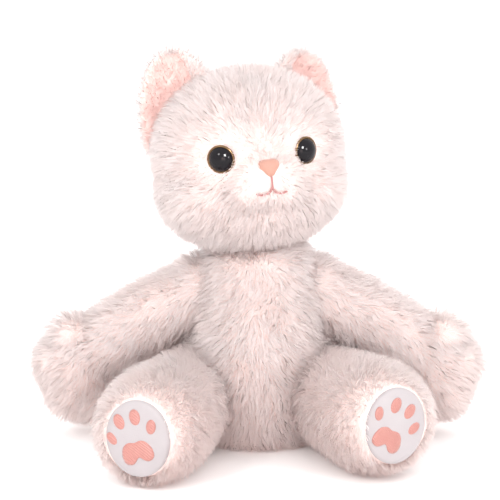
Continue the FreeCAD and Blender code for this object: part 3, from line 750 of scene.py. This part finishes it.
def ear(sign, side):
    """Rounded triangular ear: white back and rim, a pink lining sunk in its front."""
    tall = 57.0
    wide = 24.0
    centre_z = EAR_HEIGHT[sign]
    place = (HEAD @ Matrix.Translation((sign * 36.0, 9.0, centre_z - 26.0))
             @ Matrix.Rotation(math.radians(16.0) * sign, 4, "Z")
             @ Matrix.Rotation(math.radians(5.0) * sign, 4, "Y"))
    columns, rows = 25, 29

    def edge(v):
        return wide * (1.0 - v ** 3.0) ** 0.56

    def face_point(u, v, front):
        half = edge(min(v, 0.9995))
        x = half * u
        z = tall * v
        bowl = 6.5 * (1.0 - u * u) * (1.0 - 0.75 * v)
        thick = 2.6 * math.sqrt(max(0.0, 1.0 - u ** 4)) * math.sqrt(max(0.0, 1.0 - v ** 5))
        y = bowl + (-thick if front else thick) + 5.0 * v * v
        return Vector((x, y, z))

    def sheet_grid(front, inset):
        vertices = []
        for i in range(rows):
            v = (i / (rows - 1)) * (1.0 - inset)
            for j in range(columns):
                u = (2.0 * j / (columns - 1) - 1.0) * (1.0 - inset)
                vertices.append(face_point(u, v, front))
        faces = []
        for i in range(rows - 1):
            for j in range(columns - 1):
                a = i * columns + j
                quad = [a, a + 1, a + 1 + columns, a + columns]
                faces.append(quad if front else quad[::-1])
        return vertices, faces

    front_vertices, front_faces = sheet_grid(True, 0.0)
    back_vertices, back_faces = sheet_grid(False, 0.0)
    start = len(front_vertices)
    vertices = front_vertices + back_vertices
    faces = front_faces + [[i + start for i in f] for f in back_faces]
    ring = ([j for j in range(columns)]
            + [i * columns + columns - 1 for i in range(1, rows)]
            + [(rows - 1) * columns + j for j in range(columns - 2, -1, -1)]
            + [i * columns for i in range(rows - 2, 0, -1)])
    for k, a in enumerate(ring):
        b = ring[(k + 1) % len(ring)]
        faces.append([b, a, a + start, b + start])
    points = np.array([place @ v for v in vertices])
    triangles = np.array([t for f in faces for t in ((f[0], f[1], f[2]), (f[0], f[2], f[3]))])
    hide = (points, vertex_normals(points, triangles), triangles)
    inverse = np.array(place.inverted())

    def local(p):
        return p @ inverse[:3, :3].T + inverse[:3, 3]

    def lining(p):
        q = local(p)
        v = np.clip(q[:, 2] / tall, 0, 0.999)
        u = q[:, 0] / np.maximum(edge(v), 1.0)
        bowl = 6.5 * (1.0 - u * u) * (1.0 - 0.75 * v) + 5.0 * v * v
        return (q[:, 1] < bowl - 0.2) & (sign * u > -0.5) & (sign * u < 0.92) & (v < 0.93)

    def comb(p):
        q = local(p)
        away = np.zeros_like(q)
        away[:, 2] = 0.8
        away[:, 0] = 0.05 * q[:, 0]
        turn = np.array(place)[:3, :3]
        return away @ turn.T

    pink = part_of(hide, lining)
    white = part_of(hide, lambda m: ~lining(m))

    def inside_head(p):
        q = to_head(p)
        skull = np.linalg.norm((q - np.array([0, 0, 54.0])) / np.array([50.0, 43.0, 44.0]),
                               axis=1)
        return skull < 1.0

    white_pile = strands(white, 2.6, lambda p: np.full(len(p), 6.5), comb, lay=0.6,
                         skip=inside_head, pull=0.4)
    item = furred(side + "_ear_pelt", white, [white_pile], M_FUR, M_BACKING)
    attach(item, "head")
    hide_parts(side + "_ear_back")
    pink_pile = strands(pink, 2.6, lambda p: np.full(len(p), 4.5), comb, lay=0.6,
                        skip=inside_head, pull=0.25, width=0.24)
    item = furred(side + "_ear_inside", pink, [pink_pile], M_PINK_PILE, M_PINK_BACKING)
    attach(item, "head")
    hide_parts(side + "_ear_lining")


# ------------------------------------------------------------------ arms

ARM = ((3.0, 1.5, 18.0), (28.0, 14.5, 19.5), (54.0, 29.0, 19.0), (70.0, 40.0, 17.5))
PAW = ((-25.0, 6.0), (-19.0, 14.5), (-8.0, 19.5), (1.0, 20.3), (10.0, 18.8), (18.0, 14.3),
       (25.0, 6.0))


def arm(sign, side):
    slope = math.radians(28.0)
    tilt = math.radians(26.0)
    heading = (sign * math.cos(slope), 0, -math.sin(slope))
    stations = [((sign * (ARM_FACE + out), 0, ARM_HEIGHT - drop), heading, radius - 1.0)
                for out, drop, radius in ARM]
    down = (-sign * math.sin(tilt), 0, -math.cos(tilt))
    paw = [((sign * (ARM_FACE + 77.0 - t * math.sin(tilt)), 0,
             ARM_HEIGHT - 50.5 - t * math.cos(tilt)), down, radius - 0.5) for t, radius in PAW]
    lobes = [ball((sign * (ARM_FACE + 70.0), 0.0, ARM_HEIGHT - 40.0), (17.0, 17.0, 17.0)),
             ball((sign * (ARM_FACE + 81.0), -3.0, 60.0), (11.5, 12.0, 11.0)),
             ball((sign * (ARM_FACE + 92.0), -6.0, 45.0), (8.5, 10.5, 10.0)),
             ball((sign * (ARM_FACE + 82.0), -9.0, 26.0), (10.0, 10.0, 10.0)),
             ball((sign * (ARM_FACE + 68.0), -7.0, 22.0), (9.5, 11.0, 9.0))]
    blobs = [tube(stations), tube(paw), ball((sign * (ARM_FACE + 3), 0, ARM_HEIGHT),
                                             (17.5, 17.5, 17.5))] + lobes

    def clamp(points):
        points = points.copy()
        flat = sign * points[:, 0] < ARM_FACE
        points[flat, 0] = sign * ARM_FACE
        return points

    hide = skin(blobs, clamp=clamp, rounds=14)

    def comb(points):
        out = np.zeros_like(points)
        out[:, 0] = sign * 0.9
        out[:, 2] = -0.75
        return out

    def bare(points):
        return sign * points[:, 0] < ARM_FACE + 0.6

    for name, part, way in (("front", "front_pelt", -1), ("back", "back_pelt", 1)):
        panel = part_of(hide, lambda m, w=way: m[:, 1] * w > 0)
        pile = strands(panel, PILE_DENSITY, lambda p: np.full(len(p), ARM_PILE), comb, skip=bare)
        item = furred("%s_arm_%s" % (side, name), panel, [pile], M_FUR, M_BACKING)
        finish_pelt(item, side + "_arm", "%s_arm_%s" % (side, part))


# ------------------------------------------------------------------ legs

LEG = ((-42.0, 12.0), (-36.0, 19.5), (-20.0, 23.5), (4.0, 24.5), (26.0, 26.0),
       (44.0, 27.5), (60.0, 27.5), (71.0, 24.8), (78.0, 21.8))


def leg_axis(sign, ahead):
    """A point on the leg's axis, ahead of the knee point."""
    return Vector((sign * (LEG_FACE + 5.0 + ahead * math.sin(SPLAY[sign])),
                   HIP_Y[sign] - KNEE_FORWARD - ahead * math.cos(SPLAY[sign]),
                   HIP_HEIGHT + FOOT_LIFT[sign] * ahead / SOLE_AHEAD))


def oval(wide, tall, count=40, lean=0.0, centre=(0.0, 0.0)):
    points = []
    for step in range(count):
        angle = 2 * math.pi * step / count
        x = wide * math.cos(angle)
        z = tall * math.sin(angle)
        points.append((centre[0] + x * math.cos(lean) - z * math.sin(lean),
                       centre[1] + x * math.sin(lean) + z * math.cos(lean)))
    return points


def main_pad_outline():
    """A rounded heart, point upward, with two lobes below."""
    points = []
    for step in range(56):
        angle = 2 * math.pi * step / 56
        radius = 8.6 + 0.9 * math.cos(2 * angle) - 0.9 * math.cos(4 * angle)
        x = 1.08 * radius * math.cos(angle)
        z = 0.86 * radius * math.sin(angle)
        if z < 0:
            z += 2.6 * math.exp(-(x / 2.6) ** 2)
        else:
            x *= 1.0 - 0.035 * z
        points.append((x, z))
    return points


TOES = ((-12.2, 3.0, 2.7, 4.1, 24.0), (-5.0, 11.0, 3.3, 4.7, 8.0),
        (4.6, 11.4, 3.3, 4.7, -8.0), (12.0, 4.2, 2.9, 4.3, -24.0))


def leg(sign, side):
    splay = SPLAY[sign]
    heading = Vector((sign * math.sin(splay), -math.cos(splay), 0.0))
    stations = [(leg_axis(sign, ahead), heading, radius - 1.0) for ahead, radius in LEG]
    stations[-1] = (leg_axis(sign, SOLE_AHEAD - 0.5), heading, 21.0)

    def clamp(points):
        """Flat beside the belly, and free to bulge inward ahead of it."""
        points = points.copy()
        inner = LEG_FACE - np.interp(-points[:, 1], [38.0, 56.0], [0.0, 13.0])
        flat = sign * points[:, 0] < inner
        points[flat, 0] = sign * inner[flat]
        points[:, 2] = np.maximum(points[:, 2], 0.8)
        return points

    hide = skin([tube(stations, 56)], clamp=clamp, rounds=8)
    sole_middle = leg_axis(sign, SOLE_AHEAD)
    right = Vector((math.cos(splay), sign * math.sin(splay), 0.0))
    up = Vector((0.0, 0.0, 1.0))

    def on_sole(points):
        offset = points - np.array(sole_middle)
        ahead = offset @ np.array(heading)
        across = offset @ np.array(right)
        return (ahead > -4.0) & (np.hypot(across / 19.0, offset[:, 2] / 22.0) < 1.0)

    def comb(points):
        out = np.zeros_like(points) + np.array(heading) * 0.7
        out[:, 2] -= 0.45
        return out

    def bare(points):
        beside = (sign * points[:, 0] < LEG_FACE + 0.6) & (points[:, 1] > -38.0)
        return beside | on_sole(points)

    def length(points):
        offset = points - np.array(sole_middle)
        near = np.linalg.norm(offset, axis=1)
        return np.interp(near, [19.0, 26.0, 36.0], [6.0, 9.0, 11.0])

    middle = np.array(leg_axis(sign, 0.0))
    for name, part, way in (("outer", "outer_pelt", sign), ("inner", "inner_pelt", -sign)):
        panel = part_of(hide, lambda m, w=way: ((m - middle) @ np.array(right)) * w > 0)
        pile = strands(panel, PILE_DENSITY, length, comb, skip=bare)
        item = furred("%s_leg_%s" % (side, name), panel, [pile], M_FUR, M_BACKING)
        finish_pelt(item, side + "_leg", "%s_leg_%s" % (side, part))

    sole = pillow(side + "_sole", oval(SOLE_ACROSS, SOLE_TALL, 64), sole_middle, right, up,
                  heading, SOLE_DOME, M_SOLE, rings=16)
    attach(sole, side + "_leg")
    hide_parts(side + "_sole_patch")
    turn = -PRINT_TURN[sign]

    def spun(x, z):
        return (x * math.cos(turn) - z * math.sin(turn) - PRINT_SHIFT,
                x * math.sin(turn) + z * math.cos(turn))

    def sole_height(x, z):
        share = min(1.0, math.hypot(x / SOLE_ACROSS, z / SOLE_TALL))
        return SOLE_DOME * math.sqrt(max(0.0, 1.0 - share ** SOLE_EDGE))

    def pad(name, outline):
        middle_x = sum(p[0] for p in outline) / len(outline)
        middle_z = sum(p[1] for p in outline) / len(outline)
        local = [(p[0] - middle_x, p[1] - middle_z) for p in outline]
        at = (sole_middle + right * middle_x + up * middle_z
              + heading * (sole_height(middle_x, middle_z) - 0.15))
        lean_x = -0.5 * middle_x / SOLE_ACROSS * 0.25
        lean_z = -0.5 * middle_z / SOLE_TALL * 0.25
        out = (heading - right * lean_x - up * lean_z).normalized()
        return pillow(name, local, at, right, up, out, 0.95, M_THREAD, rings=6)

    big = pad(side + "_print_main", [spun(x, z - 7.4) for x, z in main_pad_outline()])
    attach(big, side + "_leg")
    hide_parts(side + "_main_pad")
    for number, (x, z, wide, tall, lean) in enumerate(TOES):
        outline = [spun(*p) for p in oval(wide, tall, 32, math.radians(lean), (x, z))]
        toe = pad("%s_print_toe_%d" % (side, number), outline)
        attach(toe, side + "_leg")
        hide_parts(side + "_toe_pads")


# ------------------------------------------------------------------ tail

TAIL = ((0.0, 0.0, 0.0, 8.5), (0.0, 22.0, 0.0, 9.5), (6.0, 46.0, 26.0, 10.0),
        (22.0, 68.0, 46.0, 10.0), (38.0, 80.0, 56.0, 8.5), (44.0, 83.5, 60.0, 4.5))


def tail():
    stations = []
    for across, back, heading, radius in TAIL:
        angle = math.radians(heading)
        stations.append((TAIL_ROOT + Vector((across, back, 0.0)),
                         (math.sin(angle), math.cos(angle), 0.0), radius - 0.8))
    hide = skin([tube(stations), ball(TAIL_ROOT, (8.4, 8.4, 8.4))], rounds=8)

    def comb(points):
        out = np.zeros_like(points)
        out[:, 1] = 0.8
        out[:, 0] = 0.5
        out[:, 2] = -0.2
        return out

    pile = strands(hide, PILE_DENSITY, lambda p: np.full(len(p), TAIL_PILE), comb)
    item = furred("tail_fur", hide, [pile], M_FUR, M_BACKING)
    finish_pelt(item, "tail", "tail_pelt")


# ------------------------------------------------------------------ inner pieces

def inner_pieces():
    """Give the hidden CAD pieces their materials."""
    for item in bpy.data.objects:
        name = item.name
        if name.endswith("stuffing"):
            material = M_FILL
        elif name == "pellet_bag":
            material = M_BAG
        elif name.endswith(("_washer", "_lock", "_joint")):
            material = M_PLASTIC
        else:
            continue
        item.data.materials.clear()
        item.data.materials.append(material)


# ------------------------------------------------------------------ stage

def area_lamp(name, at, width, power, color, aim_height):
    """A square lamp that looks at the toy's middle at the given height."""
    data = bpy.data.lights.new(name, "AREA")
    data.size = width
    data.energy = power
    data.color = color
    lamp = bpy.data.objects.new(name, data)
    lamp.location = at
    aim = Vector((0, 0, aim_height)) - Vector(at)
    lamp.rotation_euler = aim.to_track_quat("-Z", "Y").to_euler()
    bpy.context.scene.collection.objects.link(lamp)
    return lamp


def stage():
    floor_material, _ = new_material("floor", (0.98, 0.98, 0.98), 0.9)
    floor = mesh_object("floor", [(-4000, -3000, 0), (4000, -3000, 0), (4000, 5000, 0),
                                  (-4000, 5000, 0)], [[0, 1, 2, 3]], [floor_material])
    world = bpy.data.worlds.new("studio")
    bpy.context.scene.world = world
    world.use_nodes = True
    world.node_tree.nodes["Background"].inputs["Color"].default_value = (1.0, 0.99, 0.99, 1)
    world.node_tree.nodes["Background"].inputs["Strength"].default_value = 1.5
    lamps = (
        ("key", (-0.9, -1.3, 1.1), 0.32, 9.0, (1.0, 0.98, 0.97)),
        ("fill", (1.2, -1.1, 0.5), 0.3, 6.0, (1.0, 0.97, 0.97)),
        ("low", (0.0, -1.3, 0.12), 0.6, 4.0, (1.0, 0.8, 0.76)),
        ("back", (0.3, 1.1, 1.3), 1.0, 5.0, (1.0, 0.8, 0.75)),
    )
    for name, at, width, power, color in lamps:
        area_lamp(name, at, width, power, color, 0.11)
    # Seen only in reflections: it puts the highlights on the eyes.
    glint = area_lamp("glint", (0.35, -1.3, 0.85), 0.42, 45.0, (1.0, 1.0, 1.0), 0.17)
    glint.visible_diffuse = False
    glint.visible_transmission = False
    bpy.context.scene.view_settings.view_transform = "Standard"
    bpy.context.scene.cycles.max_bounces = 24
    bpy.context.scene.cycles.diffuse_bounces = 16
    bpy.context.scene.cycles.transmission_bounces = 16


def camera():
    """A long lens about a metre away, a little above the toy."""
    target = Vector((-0.0048, 0.0, 0.113))
    rise = math.radians(11.0)
    distance = 1.0
    data = bpy.data.cameras.new("camera")
    data.sensor_width = 36.0
    data.lens = 120.0
    item = bpy.data.objects.new("camera", data)
    item.location = target + distance * Vector((0.0, -math.cos(rise), math.sin(rise)))
    item.rotation_euler = (target - item.location).to_track_quat("-Z", "Y").to_euler()
    bpy.context.scene.collection.objects.link(item)
    bpy.context.scene.camera = item


torso()
head_hide = head()
eyes()
finder = surface_finder(head_hide)
nose(finder)
mouth(finder)
for side_sign, side_name in SIDES:
    ear(side_sign, side_name)
    arm(side_sign, side_name)
    leg(side_sign, side_name)
tail()
inner_pieces()
stage()
camera()
